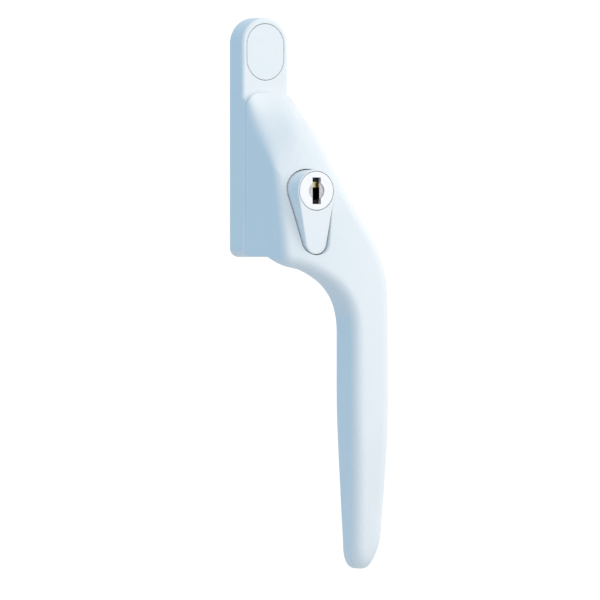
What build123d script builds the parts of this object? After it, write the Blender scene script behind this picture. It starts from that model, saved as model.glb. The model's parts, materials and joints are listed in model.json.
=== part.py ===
"""Right-hand cranked window handle with a key lock in its push button, every piece on its own.

Millimetres. The origin is the spindle axis on the sash face. +X is to the right as seen from
the room, +Z is up, and the handle stands out from the sash along -Y. Each depth is measured
outwards from the sash face, so a depth of 10 is Y = -10.
"""

import os
from math import cos, radians, sin

from build123d import *

os.makedirs("parts", exist_ok=True)

# Base plate
HALF_WIDTH = 8.5
BASE_DEPTH = 10.2
TAB_DEPTH = 8.7
TOP_Z = 34.5
BOTTOM_Z = -43.3
TAB_EDGE_R = 1.2
FOOT_EDGE_R = 1.9
SHARP_EDGE_R = 0.25
FADE_START_Z = -28.0
FADE_END_Z = -37.0

# Hub arc, shared by the base's raised pad and the lever
HUB_TOP_Z = 10.6
HUB_SIDE_Z = 7.8

# Screws on the standard 43 mm pitch
SCREW_Z = 21.5
THREAD_R = 2.5
SHANK_R = 2.45
SCREW_HEAD_R = 4.5
SCREW_TIP_Y = 9.0
UPPER_HEAD_DEPTH = 6.7
LOWER_HEAD_DEPTH = 9.2
HEAD_THICKNESS = 2.3
HEAD_RIM = 0.25

# Cover cap over the upper screw
CAP_Z = 23.3
CAP_WIDTH = 13.6
CAP_HEIGHT = 18.2
CAP_GAP = 0.15
CAP_THICKNESS = 1.5

# Hub bearing
BOSS_R = 6.2
BUSH_R = 7.1
BUSH_FLANGE_R = 7.7
BUSH_BACK = 3.4
BUSH_FLANGE_BACK = 9.4
DETENT_GROOVE_R = 5.5
DETENT_DEPTH = 5.6
BALL_R = 1.5
BALL_Z = 7.1
SLOT_END_Z = 13.6

# Lever
LEVER_BACK = 10.4
RIM_R = 3.5
GRIP_BACK_R = 2.0
SPINDLE_WIDTH = 7.0
SPINDLE_TIP_Y = 8.0
SPINDLE_DEPTH = 15.0
SPINDLE_PIN_R = 1.25
SPINDLE_PIN_DEPTH = 12.6

# Lock axis and push button
LOCK_X = 1.3
LOCK_Z = -22.1
BUTTON_FRONT = 40.0
BUTTON_BACK = 18.5
EGG_R = 6.8
EGG_TAIL = 16.6
EGG_END_R = 3.9
BUTTON_GAP = 0.25
POCKET_FLOOR = 13.9
HOUSING_R = 5.8
PLUG_R = 4.6
WEB_FRONT = 25.0
WEB_BACK = 23.6
FACE_R = 6.25
PIN_DROP = 14.4
PIN_R = 1.8
SPRING_DROP = 9.0
TAIL_R = 2.3
SPIGOT_R = 1.17
NOSE_R = 2.85
CRANK_R = 1.4
CATCH_HALF_HEIGHT = 3.0
CATCH_REACH = 8.3
WAFER_DEPTHS = (37.6, 35.3, 33.0, 30.7, 28.4)


def slab(sketch, near, far):
    """The sketch, drawn in X and Z, from one depth to another."""
    return extrude(Plane.XZ.offset(near) * sketch, amount=far - near)


def rod(x, z, radius, near, far):
    return slab(Pos(x, z) * Circle(radius), near, far)


def block(x, z, width, height, near, far):
    return slab(Pos(x, z) * Rectangle(width, height), near, far)


def ring(x, z, outer, inner, near, far):
    return slab(Pos(x, z) * (Circle(outer) - Circle(inner)), near, far)


def cone(x, z, near_r, far_r, near, far):
    """A cone along Y, from near_r at the first depth to far_r at the second."""
    solid = Cone(near_r, far_r, far - near)
    return Pos(x, -(near + far) / 2, z) * Rot(90, 0, 0) * solid


def coil(radius, wire_r, length, turns):
    """A compression spring standing on the origin along +Z, swept one turn at a time."""
    pitch = length / turns
    turn = Helix(pitch=pitch, height=pitch, radius=radius)
    path = Wire([Pos(0, 0, i * pitch) * turn for i in range(turns)])
    section = Plane(origin=path @ 0, z_dir=path % 0) * Circle(wire_r)
    return sweep(section, path=path)


def hub_outline(bottom):
    """The hub's arc over two straight sides, closed along the bottom."""
    arc = ThreePointArc(
        (-HALF_WIDTH, HUB_SIDE_Z), (0, HUB_TOP_Z), (HALF_WIDTH, HUB_SIDE_Z)
    )
    rest = Polyline(
        (HALF_WIDTH, HUB_SIDE_Z),
        (HALF_WIDTH, bottom),
        (-HALF_WIDTH, bottom),
        (-HALF_WIDTH, HUB_SIDE_Z),
    )
    return make_face([*arc.edges(), *rest.edges()])


def front_edges(solid, depth):
    return solid.faces().sort_by(Axis.Y)[0].outer_wire().edges()


def edge_profile(radius, z):
    """What a rounded edge of this radius takes off the pad's front left corner."""
    left = -HALF_WIDTH
    front = -BASE_DEPTH
    bend = radius * (1 - cos(radians(45)))
    lines = Polyline(
        (left + radius, front),
        (left + radius, front - 1),
        (left - 1, front - 1),
        (left - 1, front + radius),
        (left, front + radius),
    )
    curve = ThreePointArc(
        (left, front + radius), (left + bend, front + bend), (left + radius, front)
    )
    return Pos(0, 0, z) * make_face([*lines.edges(), *curve.edges()])


def base_solid():
    """The tab under the cap, the raised pad under the lever, and the rounded foot."""
    tab_sketch = Pos(0, TOP_Z - HALF_WIDTH) * Circle(HALF_WIDTH) + Pos(0, 13) * Rectangle(
        2 * HALF_WIDTH, 2 * (TOP_Z - HALF_WIDTH - 13)
    )
    tab = slab(tab_sketch, 0, TAB_DEPTH)
    tab = fillet(front_edges(tab, TAB_DEPTH), TAB_EDGE_R)
    pad = slab(hub_outline(FADE_END_Z), 0, BASE_DEPTH)
    fading = loft(
        [edge_profile(SHARP_EDGE_R, FADE_START_Z), edge_profile(FOOT_EDGE_R, FADE_END_Z)],
        ruled=True,
    )
    pad -= fading
    pad -= mirror(fading, about=Plane.YZ)
    foot_height = 2 * (FADE_END_Z - BOTTOM_Z)
    foot_sketch = Pos(0, FADE_END_Z) * Rectangle(2 * HALF_WIDTH, foot_height)
    corners = foot_sketch.vertices().sort_by(Axis.Y)[:2]
    foot = slab(fillet(corners, 3.0), 0, BASE_DEPTH)
    foot = fillet(front_edges(foot, BASE_DEPTH), FOOT_EDGE_R)
    foot -= Pos(0, -BASE_DEPTH / 2, FADE_END_Z + foot_height / 2) * Box(
        3 * HALF_WIDTH, 3 * BASE_DEPTH, foot_height
    )
    return tab + pad + foot


def screw_hole(z, head_depth):
    seat = head_depth - HEAD_THICKNESS
    rim = head_depth - HEAD_RIM
    hole = rod(0, z, SHANK_R + 0.15, -1, BASE_DEPTH)
    hole += cone(0, z, SHANK_R + 0.15, SCREW_HEAD_R + 0.15, seat, rim)
    return hole + rod(0, z, SCREW_HEAD_R + 0.15, rim, BASE_DEPTH + 1)


def cap_outline(grow):
    width = CAP_WIDTH + 2 * grow
    return Pos(0, CAP_Z) * Rot(0, 0, 90) * SlotOverall(CAP_HEIGHT + 2 * grow, width)


def base_plate():
    body = base_solid()
    body -= slab(cap_outline(CAP_GAP), TAB_DEPTH - CAP_THICKNESS - 0.1, TAB_DEPTH + 1)
    body -= screw_hole(SCREW_Z, UPPER_HEAD_DEPTH)
    body -= screw_hole(-SCREW_Z, LOWER_HEAD_DEPTH)
    body -= rod(0, 0, BUSH_R + 0.03, -1, BASE_DEPTH + 1)
    body -= rod(0, 0, BUSH_FLANGE_R + 0.05, BUSH_FLANGE_BACK, BASE_DEPTH + 1)
    body -= rod(0, 0, BUSH_FLANGE_R, -1, BUSH_BACK)
    slot_start = BALL_Z - 1.2
    slot_z = (slot_start + SLOT_END_Z) / 2
    body -= block(0, slot_z, 3.2, SLOT_END_Z - slot_start, -1, DETENT_DEPTH + 1.6)
    body -= rod(LOCK_X, LOCK_Z - PIN_DROP, PIN_R + 0.25, 5.8, BASE_DEPTH + 1)
    return body - block(0, -36.0, 11.0, 8.0, -1, 3.6)


def screw_cover_cap():
    body = slab(cap_outline(0), TAB_DEPTH - CAP_THICKNESS, TAB_DEPTH)
    body = fillet(front_edges(body, TAB_DEPTH), 0.25)
    return body - rod(0, SCREW_Z, 4.8, TAB_DEPTH - CAP_THICKNESS - 1, TAB_DEPTH - 1.0)


def cross_recess(z, top):
    arms = Rectangle(4.6, 0.9) + Rectangle(0.9, 4.6) + Circle(0.9)
    return slab(Pos(0, z) * arms, top - 1.7, top + 1)


def fixing_screw(z, head_depth):
    body = rod(0, z, THREAD_R, -SCREW_TIP_Y + 0.8, 0)
    body += cone(0, z, THREAD_R - 0.8, THREAD_R, -SCREW_TIP_Y, -SCREW_TIP_Y + 0.8)
    seat = head_depth - HEAD_THICKNESS
    rim = head_depth - HEAD_RIM
    body += rod(0, z, SHANK_R, 0, seat)
    body += cone(0, z, SHANK_R, SCREW_HEAD_R, seat, rim)
    body += rod(0, z, SCREW_HEAD_R, rim, head_depth)
    return body - cross_recess(z, head_depth)


def hub_bush():
    body = ring(0, 0, BUSH_R, BOSS_R + 0.05, BUSH_BACK, BASE_DEPTH)
    body += ring(0, 0, BUSH_FLANGE_R, BOSS_R + 0.05, BUSH_FLANGE_BACK, BASE_DEPTH)
    return body - block(0, 7.0, 3.2, 3.0, DETENT_DEPTH - 1.6, DETENT_DEPTH + 1.6)


def retaining_clip():
    body = ring(0, 0, 7.3, 5.75, 1.5, 2.2)
    return body - block(0, -7.0, 5.0, 6.0, 1.0, 3.0)


def detent_spring():
    return Pos(0, -DETENT_DEPTH, BALL_Z + BALL_R + 0.3) * coil(1.1, 0.2, 4.2, 5)


def detent_cover():
    middle = (9.0 + SLOT_END_Z - 0.1) / 2
    return block(0, middle, 3.1, SLOT_END_Z - 0.1 - 9.0, 0.3, DETENT_DEPTH - 1.6)


# Lever front surface: height, then (across, depth) at the left edge, middle and right edge
FRONT_STATIONS = (
    (16.0, (-8.5, 2.6), (0.0, 4.2), (8.5, 3.2)),
    (10.6, (-8.5, 9.0), (0.0, 12.0), (8.5, 9.2)),
    (5.0, (-8.5, 14.0), (0.0, 18.6), (8.5, 16.7)),
    (0.0, (-8.5, 19.0), (0.0, 24.3), (8.5, 23.8)),
    (-5.0, (-8.5, 23.0), (0.0, 28.5), (9.0, 29.2)),
    (-10.0, (-8.5, 26.8), (0.5, 31.5), (10.0, 32.9)),
    (-16.0, (-8.5, 30.6), (1.5, 34.0), (12.0, 36.2)),
    (-22.0, (-8.5, 32.2), (3.0, 36.3), (15.0, 39.2)),
    (-30.0, (-8.5, 34.1), (4.0, 38.8), (19.0, 42.2)),
    (-38.0, (-8.5, 35.6), (6.0, 41.2), (22.5, 44.6)),
    (-46.0, (-8.5, 37.6), (9.0, 43.8), (24.5, 45.9)),
    (-54.0, (2.0, 44.0), (14.0, 46.0), (25.0, 46.4)),
    (-66.0, (6.0, 46.4), (18.0, 46.9), (25.2, 46.6)),
    (-90.0, (11.0, 46.9), (18.0, 47.0), (25.0, 46.9)),
    (-110.0, (11.0, 46.2), (18.0, 46.3), (25.0, 46.2)),
    (-130.0, (11.0, 44.9), (18.0, 45.0), (25.0, 44.9)),
    (-150.0, (11.0, 43.2), (18.0, 43.3), (25.0, 43.2)),
)
ACROSS = (-14, -9, -4, 1, 6, 11, 16, 21, 26, 31, 36)

# Rounded left shoulder of the hub at the first front stations: the depth where it leaves the
# side, and how far across it meets the front
SHOULDER = (
    (2.0, 6.0),
    (9.0, 6.0),
    (10.6, 6.0),
    (13.2, 5.5),
    (18.0, 3.5),
    (23.4, 0.5),
    (28.6, -3.0),
    (32.4, -5.0),
)
SHOULDER_BEND = 0.36

# Rear of the crank and grip: (depth, height)
REAR_PROFILE = (
    (24.5, BOTTOM_Z),
    (33.0, -46.8),
    (33.0, -95.0),
    (33.4, -110.0),
    (34.2, -130.0),
    (35.3, -150.0),
)


def through_three(points, x):
    """The parabola through three (across, depth) points, at x."""
    total = 0.0
    for i, (xi, depth) in enumerate(points):
        others = [xj for j, (xj, _) in enumerate(points) if j != i]
        total += depth * (x - others[0]) * (x - others[1]) / ((xi - others[0]) * (xi - others[1]))
    return total


def front_cutter():
    """Everything in front of the lever's crowned front surface."""
    rows = [
        [Vector(x, -through_three(points, x), z) for x in ACROSS]
        for z, *points in FRONT_STATIONS
    ]
    return extrude(Face.make_surface_from_array_of_points(rows), amount=80, dir=(0, -1, 0))


def lever_outline():
    """The lever seen from the front: hub, cranked right side, round tip, neck and elbow."""
    arc = ThreePointArc(
        (-HALF_WIDTH, HUB_SIDE_Z), (0, HUB_TOP_Z), (HALF_WIDTH, HUB_SIDE_Z)
    )
    lines = [
        arc,
        Line((HALF_WIDTH, HUB_SIDE_Z), (HALF_WIDTH, -1)),
        Spline(
            (HALF_WIDTH, -1), (9.8, -9), (13.4, -20.5), (18.2, -31.5), (22.4, -40.5),
            (24.7, -49), (25.25, -60), tangents=[(0, -1), (0, -1)],
        ),
        Line((25.25, -60), (25.25, -85)),
        Spline(
            (25.25, -85), (24.9, -109), (24.0, -129), (22.9, -137),
            tangents=[(0, -1), (-0.3, -1)],
        ),
        Spline((22.9, -137), (18.2, -144.0), (13.4, -137), tangents=[(-0.3, -1), (0, 1)]),
        Spline((13.4, -137), (13.2, -129), (12.5, -109), (11.9, -85), tangents=[(0, 1), (0, 1)]),
        Line((11.9, -85), (11.9, -68)),
        Spline(
            (11.9, -68), (5.6, -52.2), (-3.5, -47.2), (-HALF_WIDTH, -46.2),
            tangents=[(0, 1), (-1, 0.1)],
        ),
        Line((-HALF_WIDTH, -46.2), (-HALF_WIDTH, HUB_SIDE_Z)),
    ]
    sketch = make_face([edge for line in lines for edge in line.edges()])
    sides = [v for v in sketch.vertices() if abs(abs(v.X) - HALF_WIDTH) < 0.001]
    sketch = fillet([v for v in sides if v.Y > 0], 4.0)
    elbow = [v for v in sketch.vertices() if abs(v.X + HALF_WIDTH) < 0.001 and v.Y < -40]
    return fillet(elbow, 4.0)


def shoulder_section(station, side_depth, right):
    """What the shoulder's rounding takes off at one front station."""
    z, *points = station
    left = -HALF_WIDTH
    front_depth = through_three(points, right)
    slope = through_three(points, right + 0.5) - through_three(points, right - 0.5)
    across = left + SHOULDER_BEND * (right - left)
    depth = front_depth - SHOULDER_BEND * (front_depth - side_depth)
    outside = Polyline(
        (right, -front_depth), (right, -70), (left - 4, -70), (left - 4, -side_depth),
        (left, -side_depth),
    )
    curve = Spline(
        (left, -side_depth), (across, -depth), (right, -front_depth),
        tangents=[(0, -1), (1, -slope)],
    )
    return Pos(0, 0, z) * make_face([*outside.edges(), *curve.edges()])


def shoulder_cutter():
    return loft([shoulder_section(*row) for row in zip(FRONT_STATIONS, *zip(*SHOULDER))])


def is_grip_back(edge):
    """True on the long edges round the rear of the grip, not on those across it."""
    middle = edge.center()
    is_rear = -37 < middle.Y < -32.5 and middle.Z < -50
    is_across = edge.bounding_box().size.Z < 0.5
    return is_rear and not is_across


def lever_skin():
    """The outside of the lever, before anything is bored into it."""
    body = slab(lever_outline(), LEVER_BACK, LEVER_BACK + 60) - front_cutter()
    rear = Polyline((-20, BOTTOM_Z), *REAR_PROFILE, (-20, -150.0), close=True)
    rear = make_face([Plane.YZ * edge for edge in mirror(rear, about=Plane.YZ).edges()])
    body -= Pos(-30, 0, 0) * extrude(rear, amount=80, dir=(1, 0, 0))
    front = body.faces().filter_by(GeomType.BSPLINE).sort_by(SortBy.AREA)[-1]
    body = fillet(front.outer_wire().edges(), RIM_R)
    grip_back = body.edges().filter_by(is_grip_back)
    return fillet(grip_back, GRIP_BACK_R) - shoulder_cutter()


def egg(grow):
    """The push button's outline: a large circle on the lock axis tapering to a small one."""
    top = Pos(LOCK_X, LOCK_Z) * Circle(EGG_R + grow)
    end = Pos(LOCK_X, LOCK_Z - EGG_TAIL) * Circle(EGG_END_R + grow)
    return make_hull((top + end).edges())


def lever():
    body = lever_skin() + rod(0, 0, BOSS_R, 0.5, LEVER_BACK + 1)
    width = SPINDLE_WIDTH + 0.1
    body -= block(0, 0, width, width, 0, SPINDLE_DEPTH + 0.2)
    body -= ring(0, 0, BOSS_R + 1, 5.7, 1.4, 2.3)
    body -= ring(0, 0, BOSS_R + 1, DETENT_GROOVE_R, DETENT_DEPTH - 1.55, DETENT_DEPTH + 1.55)
    pin_hole = Pos(2.0, -SPINDLE_PIN_DEPTH, 0) * Rot(0, 90, 0) * Cylinder(SPINDLE_PIN_R + 0.03, 16)
    body -= pin_hole
    body -= slab(egg(BUTTON_GAP), POCKET_FLOOR, 60)
    body -= rod(LOCK_X, LOCK_Z - PIN_DROP, PIN_R + 0.1, LEVER_BACK - 1, POCKET_FLOOR + 1)
    return body - block(LOCK_X + 6.0, LOCK_Z, 6.0, 4.5, 16.0, 21.3)


def spindle():
    body = block(0, 0, SPINDLE_WIDTH, SPINDLE_WIDTH, -SPINDLE_TIP_Y, SPINDLE_DEPTH)
    tip = body.faces().sort_by(Axis.Y)[-1]
    body = chamfer(tip.edges(), 0.6)
    return body - Pos(0, -SPINDLE_PIN_DEPTH, 0) * Rot(0, 90, 0) * Cylinder(SPINDLE_PIN_R + 0.03, 20)


def spindle_pin():
    return Pos(1.1, -SPINDLE_PIN_DEPTH, 0) * Rot(0, 90, 0) * Cylinder(SPINDLE_PIN_R, 13.8)


def push_button():
    body = slab(egg(0), BUTTON_BACK, BUTTON_FRONT)
    body = fillet(front_edges(body, BUTTON_FRONT), 0.5)
    body -= rod(LOCK_X, LOCK_Z, HOUSING_R + 0.05, WEB_FRONT, BUTTON_FRONT + 1)
    body -= rod(LOCK_X, LOCK_Z, FACE_R + 0.18, BUTTON_FRONT - 1.4, BUTTON_FRONT + 1)
    body -= rod(LOCK_X, LOCK_Z, TAIL_R + 0.05, BUTTON_BACK - 1, WEB_FRONT + 1)
    body -= block(
        LOCK_X + 1.6, LOCK_Z, 13.0, 2 * CATCH_HALF_HEIGHT + 0.3, BUTTON_BACK - 1, WEB_BACK
    )
    body -= rod(LOCK_X, LOCK_Z - SPRING_DROP, 2.3, BUTTON_BACK - 1, 29.0)
    body -= rod(LOCK_X, LOCK_Z - PIN_DROP, PIN_R + 0.02, BUTTON_BACK - 1, 30.0)
    for drop in (-5.0, 17.5):
        body -= rod(LOCK_X, LOCK_Z - drop, 0.75, BUTTON_BACK - 1, 23.0)
    return body


def button_back_plate():
    body = slab(egg(-0.2), BUTTON_BACK - 1.3, BUTTON_BACK - 0.02)
    body -= rod(LOCK_X, LOCK_Z - SPRING_DROP, 2.4, 10, 20)
    body -= rod(LOCK_X, LOCK_Z - PIN_DROP, PIN_R + 0.02, 10, 20)
    for drop in (-5.0, 17.5):
        body -= rod(LOCK_X, LOCK_Z - drop, 0.8, 10, 20)
        body -= rod(LOCK_X, LOCK_Z - drop, 1.2, 10, BUTTON_BACK - 0.6)
    return body


def back_plate_screw(drop):
    body = rod(LOCK_X, LOCK_Z - drop, 0.7, BUTTON_BACK - 0.62, 22.6)
    body += rod(LOCK_X, LOCK_Z - drop, 1.12, BUTTON_BACK - 1.25, BUTTON_BACK - 0.62)
    return body - block(LOCK_X, LOCK_Z - drop, 1.8, 0.35, BUTTON_BACK - 1.4, BUTTON_BACK - 1.0)


def locking_pin():
    body = rod(LOCK_X, LOCK_Z - PIN_DROP, PIN_R, 10.9, 29.8)
    return chamfer(body.faces().sort_by(Axis.Y)[-1].edges(), 0.5)


def button_spring():
    spring = Rot(90, 0, 0) * coil(1.75, 0.25, 14.2, 9)
    return Pos(LOCK_X, -POCKET_FLOOR - 0.35, LOCK_Z - SPRING_DROP) * spring


def lock_housing():
    body = ring(LOCK_X, LOCK_Z, HOUSING_R, PLUG_R + 0.05, WEB_FRONT + 0.05, BUTTON_FRONT - 1.5)
    for turn in (0, 90):
        groove = Rot(0, 0, turn) * Rectangle(4.2, 10.5)
        body -= slab(Pos(LOCK_X, LOCK_Z) * groove, 27.0, 38.2)
    return body


def key_plug():
    body = rod(LOCK_X, LOCK_Z, PLUG_R, WEB_FRONT + 0.35, BUTTON_FRONT - 1.4)
    body += rod(LOCK_X, LOCK_Z, NOSE_R, WEB_FRONT + 1, BUTTON_FRONT - 0.4)
    body += rod(LOCK_X, LOCK_Z, TAIL_R, 22.4, WEB_FRONT + 1)
    body += rod(LOCK_X, LOCK_Z, SPIGOT_R, 21.4, WEB_BACK)
    body -= ring(LOCK_X, LOCK_Z, TAIL_R + 1, 1.8, 22.6, 23.4)
    body -= block(LOCK_X, LOCK_Z, 2.5, 5.8, 26.6, BUTTON_FRONT)
    for depth in WAFER_DEPTHS:
        body -= block(LOCK_X, LOCK_Z, 4.1, 12, depth - 0.5, depth + 0.5)
    return body


def plug_face():
    body = rod(LOCK_X, LOCK_Z, FACE_R, BUTTON_FRONT - 1.35, BUTTON_FRONT + 0.1)
    body = fillet(body.faces().sort_by(Axis.Y)[0].edges(), 0.3)
    keyhole = Circle(NOSE_R + 0.05) + Rectangle(3.1, 8.6)
    return body - slab(Pos(LOCK_X, LOCK_Z) * keyhole, BUTTON_FRONT - 2, BUTTON_FRONT + 1)


def plug_circlip():
    body = ring(LOCK_X, LOCK_Z, 2.9, 1.85, 22.7, 23.3)
    return body - block(LOCK_X, LOCK_Z - 2.5, 2.0, 2.6, 22, 24)


def release_cam():
    body = rod(LOCK_X, LOCK_Z, 2.9, 21.3, 22.3) - rod(LOCK_X, LOCK_Z, SPIGOT_R + 0.03, 20, 24)
    angle = radians(45)
    pin_x = LOCK_X + CRANK_R * cos(angle)
    pin_z = LOCK_Z + CRANK_R * sin(angle)
    return body + rod(pin_x, pin_z, 0.7, 19.6, 21.35)


def wafer(depth, lift):
    """A slotted plate whose window sits above or below the lock axis by lift."""
    plate = Circle(PLUG_R - 0.1) & Rectangle(4.0, 12)
    window = Pos(0, lift) * Rectangle(2.6, 5.2)
    return slab(Pos(LOCK_X, LOCK_Z) * (plate - window), depth - 0.42, depth + 0.42)


def release_catch():
    left = -1.4
    body = block(
        LOCK_X + (left + 6.4) / 2, LOCK_Z, 6.4 - left, 2 * CATCH_HALF_HEIGHT, 19.5, 20.9
    )
    body += block(LOCK_X + CATCH_REACH / 2 + 2, LOCK_Z, CATCH_REACH - 4, 4.0, 19.5, 20.9)
    slot_x = LOCK_X + CRANK_R * cos(radians(45))
    return body - block(slot_x, LOCK_Z + 1.2, 1.6, 2.5, 19, 22)


def catch_spring():
    spring = Rot(0, 90, 0) * coil(0.85, 0.15, 2.8, 2)
    return Pos(LOCK_X - 4.6, -20.2, LOCK_Z) * spring


PARTS = {
    "base_plate": base_plate(),
    "screw_cover_cap": screw_cover_cap(),
    "upper_fixing_screw": fixing_screw(SCREW_Z, UPPER_HEAD_DEPTH),
    "lower_fixing_screw": fixing_screw(-SCREW_Z, LOWER_HEAD_DEPTH),
    "hub_bush": hub_bush(),
    "thrust_washer": ring(0, 0, 7.4, BOSS_R + 0.1, 2.9, 3.3),
    "wave_washer": ring(0, 0, 7.4, BOSS_R + 0.1, 2.35, 2.75),
    "retaining_clip": retaining_clip(),
    "detent_ball": Pos(0, -DETENT_DEPTH, BALL_Z) * Sphere(BALL_R),
    "detent_spring": detent_spring(),
    "detent_cover": detent_cover(),
    "lever": lever(),
    "spindle": spindle(),
    "spindle_pin": spindle_pin(),
    "push_button": push_button(),
    "button_back_plate": button_back_plate(),
    "upper_plate_screw": back_plate_screw(-5.0),
    "lower_plate_screw": back_plate_screw(17.5),
    "locking_pin": locking_pin(),
    "button_spring": button_spring(),
    "lock_housing": lock_housing(),
    "key_plug": key_plug(),
    "plug_face": plug_face(),
    "plug_circlip": plug_circlip(),
    "release_cam": release_cam(),
    "release_catch": release_catch(),
    "catch_spring": catch_spring(),
}
for number, depth in enumerate(WAFER_DEPTHS, start=1):
    lift = -1.5 if number % 2 else -0.3
    PARTS[f"wafer_{number}"] = wafer(depth, lift)

for name, shape in PARTS.items():
    export_step(shape, f"parts/{name}.step")
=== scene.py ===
import json
from math import cos, pi, radians, sin

import bmesh
import bpy
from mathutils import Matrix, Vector


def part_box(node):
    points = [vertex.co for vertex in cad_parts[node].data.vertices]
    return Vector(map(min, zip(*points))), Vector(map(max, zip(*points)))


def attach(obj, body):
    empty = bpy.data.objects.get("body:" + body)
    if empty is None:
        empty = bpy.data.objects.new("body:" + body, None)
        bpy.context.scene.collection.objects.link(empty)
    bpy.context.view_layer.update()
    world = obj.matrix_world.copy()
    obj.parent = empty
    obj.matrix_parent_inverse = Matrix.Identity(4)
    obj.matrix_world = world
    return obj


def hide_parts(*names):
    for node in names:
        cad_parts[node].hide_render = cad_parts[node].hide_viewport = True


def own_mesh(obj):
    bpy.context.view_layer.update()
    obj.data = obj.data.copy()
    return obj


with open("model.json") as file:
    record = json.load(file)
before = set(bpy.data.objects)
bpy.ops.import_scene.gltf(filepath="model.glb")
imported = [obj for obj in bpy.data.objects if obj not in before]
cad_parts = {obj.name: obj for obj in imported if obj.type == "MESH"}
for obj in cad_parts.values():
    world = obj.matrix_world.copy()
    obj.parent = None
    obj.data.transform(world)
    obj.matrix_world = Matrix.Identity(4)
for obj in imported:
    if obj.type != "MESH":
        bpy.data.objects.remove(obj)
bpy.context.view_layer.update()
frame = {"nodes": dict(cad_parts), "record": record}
NODES = frame["nodes"]


# ---------------------------------------------------------------- shader helpers
# Noise scales are in waves per metre, bump depths in metres.

def new_material(name):
    material = bpy.data.materials.new(name)
    material.use_nodes = True
    tree = material.node_tree
    return material, tree, tree.nodes["Principled BSDF"]


def object_noise(tree, scale, detail=4.0, roughness=0.55):
    """Noise over the object's own metres."""
    coords = tree.nodes.new("ShaderNodeTexCoord")
    noise = tree.nodes.new("ShaderNodeTexNoise")
    noise.inputs["Scale"].default_value = scale
    noise.inputs["Detail"].default_value = detail
    noise.inputs["Roughness"].default_value = roughness
    tree.links.new(coords.outputs["Object"], noise.inputs["Vector"])
    return noise.outputs["Fac"]


def ramp(tree, source, low, high, start=0.3, end=0.7):
    """A colour ramp from low to high over part of the source's range."""
    node = tree.nodes.new("ShaderNodeValToRGB")
    node.color_ramp.elements[0].position = start
    node.color_ramp.elements[0].color = low
    node.color_ramp.elements[1].position = end
    node.color_ramp.elements[1].color = high
    tree.links.new(source, node.inputs["Fac"])
    return node.outputs["Color"]


def level(tree, source, low, high):
    """The source's 0 to 1 mapped to low to high."""
    node = tree.nodes.new("ShaderNodeMapRange")
    node.inputs["To Min"].default_value = low
    node.inputs["To Max"].default_value = high
    tree.links.new(source, node.inputs["Value"])
    return node.outputs["Result"]


def share(tree, source, start, end):
    """How far the source has come from start to end, from 0 to 1."""
    node = tree.nodes.new("ShaderNodeMapRange")
    node.inputs["From Min"].default_value = start
    node.inputs["From Max"].default_value = end
    tree.links.new(source, node.inputs["Value"])
    return node.outputs["Result"]


def bump(tree, shader, heights):
    """Chains bumps, each (height socket, strength, depth)."""
    last = None
    for height, strength, depth in heights:
        node = tree.nodes.new("ShaderNodeBump")
        node.inputs["Strength"].default_value = strength
        node.inputs["Distance"].default_value = depth
        tree.links.new(height, node.inputs["Height"])
        if last is not None:
            tree.links.new(last.outputs["Normal"], node.inputs["Normal"])
        last = node
    tree.links.new(last.outputs["Normal"], shader.inputs["Normal"])


# ---------------------------------------------------------------- kinds of surface

PEEL_STRENGTH = 0.03
PEEL_DEPTH = 0.0002
DUST_STRENGTH = 0.02
COAT_WEIGHT = 0.35
COAT_ROUGHNESS = 0.12
PLASTIC_GRAIN_STRENGTH = 0.12
FINE_DEPTH = 0.00005
METAL_GRAIN_STRENGTH = 0.15
METAL_GRAIN_DEPTH = 0.00004
GRAIN_PER_CLOUD = 6
SMOOTHEST = 0.7
ROUGHEST = 1.4
SCATTER_RADIUS = (0.002, 0.002, 0.002)


def enamel(name, low, high, roughness):
    """Gloss enamel: faint orange peel, fine dust, and colour that drifts slightly."""
    material, tree, shader = new_material(name)
    drift = object_noise(tree, 45.0, detail=3.0)
    tree.links.new(ramp(tree, drift, low, high), shader.inputs["Base Color"])
    haze = object_noise(tree, 260.0, detail=5.0)
    gloss = level(tree, haze, roughness - 0.02, roughness + 0.03)
    tree.links.new(gloss, shader.inputs["Roughness"])
    peel = object_noise(tree, 900.0, detail=2.0, roughness=0.4)
    dust = object_noise(tree, 5200.0, detail=2.0, roughness=0.5)
    bump(tree, shader, [(peel, PEEL_STRENGTH, PEEL_DEPTH), (dust, DUST_STRENGTH, FINE_DEPTH)])
    shader.inputs["Coat Weight"].default_value = COAT_WEIGHT
    shader.inputs["Coat Roughness"].default_value = COAT_ROUGHNESS
    return material


def metal(name, low, high, roughness, scale=900.0, metallic=1.0):
    """Metal whose tone and gloss follow one cloud, under a finer grain."""
    material, tree, shader = new_material(name)
    shader.inputs["Metallic"].default_value = metallic
    cloud = object_noise(tree, scale, detail=5.0)
    tree.links.new(ramp(tree, cloud, low, high), shader.inputs["Base Color"])
    gloss = level(tree, cloud, roughness * SMOOTHEST, roughness * ROUGHEST)
    tree.links.new(gloss, shader.inputs["Roughness"])
    grain = object_noise(tree, scale * GRAIN_PER_CLOUD, detail=3.0, roughness=0.6)
    bump(tree, shader, [(grain, METAL_GRAIN_STRENGTH, METAL_GRAIN_DEPTH)])
    return material


def plastic(name, low, high, roughness, translucency=0.0):
    """Moulded plastic with a fine grain."""
    material, tree, shader = new_material(name)
    cloud = object_noise(tree, 300.0)
    tree.links.new(ramp(tree, cloud, low, high), shader.inputs["Base Color"])
    gloss = level(tree, cloud, roughness - 0.05, roughness + 0.08)
    tree.links.new(gloss, shader.inputs["Roughness"])
    grain = object_noise(tree, 4200.0, detail=2.0, roughness=0.5)
    bump(tree, shader, [(grain, PLASTIC_GRAIN_STRENGTH, FINE_DEPTH)])
    shader.inputs["Subsurface Weight"].default_value = translucency
    shader.inputs["Subsurface Radius"].default_value = SCATTER_RADIUS
    return material


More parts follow.
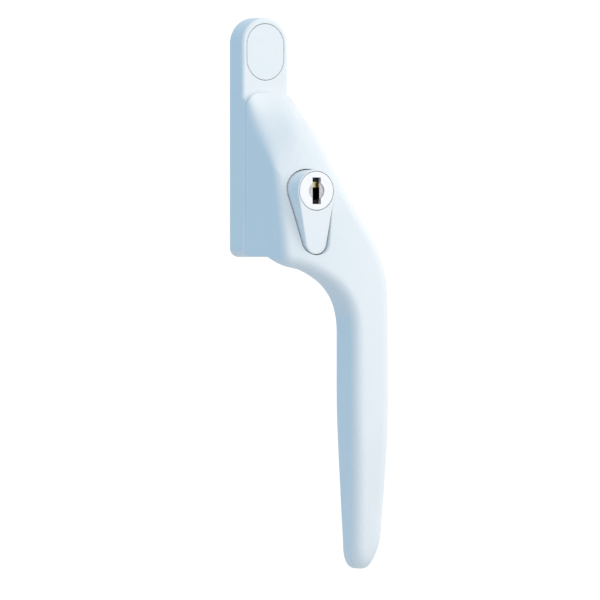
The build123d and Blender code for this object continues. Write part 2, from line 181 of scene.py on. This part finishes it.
# The plug's colour is darkened towards near black between these two depths: painted shade down the keyway.
UNSHADED_NOSE_Y = -0.0395
FULL_SHADE_FROM_Y = -0.0388
NICKEL_LOW = (0.52, 0.52, 0.55, 1)
NICKEL_HIGH = (0.74, 0.74, 0.78, 1)
# Near black: painted shade deep in the keyway.
PAINTED_SHADE_DARK = (0.02, 0.02, 0.025, 1)


def plug_metal(name):
    """Nickel silver at the nose, darkened to near black further down the keyway as painted shade."""
    material, tree, shader = new_material(name)
    shader.inputs["Metallic"].default_value = 1.0
    cloud = object_noise(tree, 1200.0, detail=5.0)
    coords = tree.nodes.new("ShaderNodeTexCoord")
    split = tree.nodes.new("ShaderNodeSeparateXYZ")
    tree.links.new(coords.outputs["Object"], split.inputs["Vector"])
    tone = tree.nodes.new("ShaderNodeMix")
    tone.data_type = "RGBA"
    tone.inputs["B"].default_value = PAINTED_SHADE_DARK
    depth = share(tree, split.outputs["Y"], UNSHADED_NOSE_Y, FULL_SHADE_FROM_Y)
    tree.links.new(depth, tone.inputs["Factor"])
    tree.links.new(ramp(tree, cloud, NICKEL_LOW, NICKEL_HIGH), tone.inputs["A"])
    tree.links.new(tone.outputs["Result"], shader.inputs["Base Color"])
    tree.links.new(level(tree, cloud, 0.12, 0.3), shader.inputs["Roughness"])
    grain = object_noise(tree, 7000.0, detail=3.0, roughness=0.6)
    bump(tree, shader, [(grain, METAL_GRAIN_STRENGTH, METAL_GRAIN_DEPTH)])
    return material


# ---------------------------------------------------------------- finishes

WHITE = enamel("white_enamel", (0.80, 0.845, 0.87, 1), (0.825, 0.865, 0.89, 1), 0.26)
CAP = plastic("white_cap_plastic", (0.79, 0.84, 0.87, 1), (0.81, 0.855, 0.88, 1), 0.32)
PLATED = metal("plated_screw", (0.50, 0.51, 0.53, 1), (0.62, 0.63, 0.64, 1), 0.30)
SPINDLE = metal("plated_spindle", (0.46, 0.48, 0.50, 1), (0.58, 0.60, 0.62, 1), 0.34)
ZINC = metal("plain_zinc", (0.52, 0.53, 0.55, 1), (0.66, 0.67, 0.69, 1), 0.38)
SPRING = metal("spring_steel", (0.34, 0.35, 0.37, 1), (0.46, 0.47, 0.49, 1), 0.28)
STEEL = metal("bright_steel", (0.60, 0.61, 0.63, 1), (0.72, 0.73, 0.75, 1), 0.18)
SINTER = metal("sintered_steel", (0.30, 0.30, 0.32, 1), (0.42, 0.42, 0.44, 1), 0.45)
CHROME = metal(
    "chrome_face", (0.95, 0.95, 0.96, 1), (0.98, 0.98, 0.99, 1), 0.10,
    scale=500.0, metallic=0.35,
)
BRASS = metal("brass_wafer", (0.68, 0.54, 0.22, 1), (0.84, 0.72, 0.36, 1), 0.25)
# Near-black brass: painted shade for the wafers deep in the keyway.
PAINTED_SHADE_BRASS = metal("painted_shade_brass", (0.06, 0.045, 0.02, 1), (0.12, 0.09, 0.04, 1), 0.45)
NYLON = plastic("nylon", (0.78, 0.77, 0.71, 1), (0.86, 0.85, 0.80, 1), 0.5, translucency=0.2)
PLUG = plug_metal("nickel_plug_with_painted_shade")

FINISH = {
    "white_enamel": WHITE, "white_cap_plastic": CAP, "plated_screw": PLATED,
    "plated_spindle": SPINDLE, "plain_zinc": ZINC, "spring_steel": SPRING,
    "bright_steel": STEEL, "sintered_steel": SINTER, "chrome_face": CHROME,
    "brass_wafer": BRASS, "nylon": NYLON,
}
# Painted shade: the plug darkens down its keyway, and wafers 2 to 5 wear a near-black copy of the brass;
# only the first wafer, nearest the key's entry, keeps the lit brass.
DARKER = {"key_plug": PLUG, **{f"wafer_{n}": PAINTED_SHADE_BRASS for n in (2, 3, 4, 5)}}


def wear(node_name, material):
    NODES[node_name].data.materials.clear()
    NODES[node_name].data.materials.append(material)


for part in frame["record"]["subparts"]:
    wear(part["node"], FINISH[part["material_slot"]])
for node_name, material in DARKER.items():
    wear(node_name, material)


# ---------------------------------------------------------------- castings

LEVER_VOXEL = 0.00024
LEVER_ROUNDS = 6
PLATE_VOXEL = 0.0002
PLATE_ROUNDS = 3


def soften(obj, voxel, rounds):
    """Remeshes a casting finely and relaxes it, so its edges are rounded as paint rounds them."""
    remesh = obj.modifiers.new("fine_skin", "REMESH")
    remesh.mode = "VOXEL"
    remesh.voxel_size = voxel
    remesh.use_smooth_shade = True
    relax = obj.modifiers.new("relaxed_skin", "SMOOTH")
    relax.factor = 0.5
    relax.iterations = rounds


soften(NODES["lever"], LEVER_VOXEL, LEVER_ROUNDS)
soften(NODES["base_plate"], PLATE_VOXEL, PLATE_ROUNDS)


# ---------------------------------------------------------------- springs


def working_spring(node_name):
    """A copy of a spring with its own mesh, riding on the button body in place of the part."""
    source = NODES[node_name]
    piece = bpy.data.objects.new(node_name + "_coil", source.data.copy())
    piece.matrix_world = source.matrix_world
    bpy.context.scene.collection.objects.link(piece)
    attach(piece, "button")
    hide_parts(node_name)
    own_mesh(piece)


working_spring("button_spring")
working_spring("catch_spring")


# ---------------------------------------------------------------- screw threads

THREAD_PITCH = 0.0008
THREAD_HEIGHT = 0.00032
THREAD_START_Y = 0.0004
TIP_LENGTH = 0.0009
TIP_DROP = 0.0008
STEPS_PER_PITCH = 8
STEPS_ROUND = 96
CUT_TOLERANCE = 1e-7
RIM_TOLERANCE = 1e-6


def plain_head(source):
    """The screw's own mesh, in world metres, as far as the start of its thread."""
    form = bmesh.new()
    form.from_mesh(source.data)
    form.transform(source.matrix_world)
    bmesh.ops.bisect_plane(
        form, geom=form.verts[:] + form.edges[:] + form.faces[:], dist=CUT_TOLERANCE,
        plane_co=(0, THREAD_START_Y, 0), plane_no=(0, 1, 0), clear_outer=True,
    )
    return form


def thread_ring(form, axis_x, axis_z, y, radius, taper):
    """One ring of the thread's skin, its crest standing where the helix passes y."""
    ring = []
    for step in range(STEPS_ROUND):
        angle = 2 * pi * step / STEPS_ROUND
        phase = (y / THREAD_PITCH + step / STEPS_ROUND) % 1.0
        groove = 1 - abs(2 * phase - 1)
        reach = radius - THREAD_HEIGHT * groove - TIP_DROP * (1 - taper)
        ring.append(form.verts.new((axis_x + reach * cos(angle), y, axis_z + reach * sin(angle))))
    return ring


def threaded_copy(node_name):
    """The screw's own head and shank, with a rolled metric thread in place of the plain rod."""
    low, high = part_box(node_name)
    axis_x = (low[0] + high[0]) / 2
    axis_z = (low[2] + high[2]) / 2
    tip_y = high[1]
    form = plain_head(NODES[node_name])
    shank_radius = max(
        Vector((v.co.x - axis_x, v.co.z - axis_z)).length
        for v in form.verts if abs(v.co.y - THREAD_START_Y) < RIM_TOLERANCE
    )
    rows = round((tip_y - THREAD_START_Y) / THREAD_PITCH * STEPS_PER_PITCH)
    rings = []
    for row in range(rows + 1):
        y = THREAD_START_Y + (tip_y - THREAD_START_Y) * row / rows
        taper = min(1.0, (tip_y - y) / TIP_LENGTH)
        rings.append(thread_ring(form, axis_x, axis_z, y, shank_radius, taper))
    for near, far in zip(rings, rings[1:]):
        for step in range(STEPS_ROUND):
            after = (step + 1) % STEPS_ROUND
            form.faces.new((near[step], near[after], far[after], far[step]))
    form.faces.new(rings[-1])
    bmesh.ops.recalc_face_normals(form, faces=form.faces[:])
    mesh = bpy.data.meshes.new(node_name + "_threaded")
    form.to_mesh(mesh)
    form.free()
    mesh.materials.append(PLATED)
    piece = bpy.data.objects.new(node_name + "_threaded", mesh)
    bpy.context.scene.collection.objects.link(piece)
    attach(piece, "base")
    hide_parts(node_name)


threaded_copy("upper_fixing_screw")
threaded_copy("lower_fixing_screw")


# ---------------------------------------------------------------- floor

FLOOR_Z = -0.175
FLOOR_HALF = 0.42
FLOOR_LOW = (0.655, 0.675, 0.69, 1)
FLOOR_HIGH = (0.665, 0.685, 0.70, 1)


def lay_floor():
    """A plain matt square under the handle."""
    corners = [(-1, -1), (1, -1), (1, 1), (-1, 1)]
    mesh = bpy.data.meshes.new("floor")
    mesh.from_pydata([(x * FLOOR_HALF, y * FLOOR_HALF, FLOOR_Z) for x, y in corners], [], [(0, 1, 2, 3)])
    floor = bpy.data.objects.new("floor", mesh)
    bpy.context.scene.collection.objects.link(floor)
    material, tree, shader = new_material("floor")
    cloud = object_noise(tree, 30.0)
    tree.links.new(ramp(tree, cloud, FLOOR_LOW, FLOOR_HIGH), shader.inputs["Base Color"])
    shader.inputs["Roughness"].default_value = 0.8
    mesh.materials.append(material)


lay_floor()


# ---------------------------------------------------------------- light

BRIGHT_SIDE = Vector((0.68, -0.62, 0.38)).normalized()
SHADE_BELOW = -0.75
FULL_ABOVE = 0.50
SHADE_COLOUR = (0.245, 0.52, 0.76, 1)
FULL_COLOUR = (1.0, 1.0, 1.0, 1)
FILL_STRENGTH = 0.96
BACKDROP_COLOUR = (1, 1, 1, 1)
BACKDROP_STRENGTH = 1.05


def light_world():
    """Soft light all round, white on the bright side and blue opposite; the backdrop is white."""
    world = bpy.data.worlds.new("studio")
    bpy.context.scene.world = world
    world.use_nodes = True
    tree = world.node_tree
    tree.nodes.clear()
    coords = tree.nodes.new("ShaderNodeTexCoord")
    towards = tree.nodes.new("ShaderNodeVectorMath")
    towards.operation = "DOT_PRODUCT"
    towards.inputs[1].default_value = BRIGHT_SIDE
    tree.links.new(coords.outputs["Generated"], towards.inputs[0])
    side = share(tree, towards.outputs["Value"], SHADE_BELOW, FULL_ABOVE)
    wash = ramp(tree, side, SHADE_COLOUR, FULL_COLOUR, start=0.0, end=1.0)
    fill = tree.nodes.new("ShaderNodeBackground")
    fill.inputs["Strength"].default_value = FILL_STRENGTH
    tree.links.new(wash, fill.inputs["Color"])
    backdrop = tree.nodes.new("ShaderNodeBackground")
    backdrop.inputs["Color"].default_value = BACKDROP_COLOUR
    backdrop.inputs["Strength"].default_value = BACKDROP_STRENGTH
    light_path = tree.nodes.new("ShaderNodeLightPath")
    mix = tree.nodes.new("ShaderNodeMixShader")
    tree.links.new(light_path.outputs["Is Camera Ray"], mix.inputs[0])
    tree.links.new(fill.outputs["Background"], mix.inputs[1])
    tree.links.new(backdrop.outputs["Background"], mix.inputs[2])
    out = tree.nodes.new("ShaderNodeOutputWorld")
    tree.links.new(mix.outputs["Shader"], out.inputs["Surface"])


TARGET = Vector((0.0135, -0.0076, -0.0573))
KEY_PLACE = Vector((0.55, -0.85, 0.45))
KEY_SIZE = (0.5, 0.7)
KEY_POWER = 3.2


def hang_key():
    """One softbox from the front right, which the surfaces don't mirror."""
    data = bpy.data.lights.new("key", "AREA")
    data.shape = "RECTANGLE"
    data.size, data.size_y = KEY_SIZE
    data.energy = KEY_POWER
    key = bpy.data.objects.new("key", data)
    key.location = KEY_PLACE
    key.rotation_euler = (TARGET - KEY_PLACE).to_track_quat("-Z", "Y").to_euler()
    key.visible_glossy = False
    bpy.context.scene.collection.objects.link(key)


light_world()
hang_key()


# ---------------------------------------------------------------- camera

AZIMUTH = radians(-29.5)
DISTANCE = 3.2
VIEW_WIDTH = 0.19544
SENSOR_WIDTH = 36.0


def place_camera():
    """A long lens, level with the target, that sees VIEW_WIDTH across at the target."""
    data = bpy.data.cameras.new("camera")
    data.sensor_width = SENSOR_WIDTH
    data.lens = SENSOR_WIDTH * DISTANCE / VIEW_WIDTH
    camera = bpy.data.objects.new("camera", data)
    ahead = Vector((-sin(AZIMUTH), cos(AZIMUTH), 0))
    camera.location = TARGET - ahead * DISTANCE
    camera.rotation_euler = ahead.to_track_quat("-Z", "Y").to_euler()
    bpy.context.scene.collection.objects.link(camera)
    bpy.context.scene.camera = camera


place_camera()
bpy.context.scene.view_settings.view_transform = "Standard"
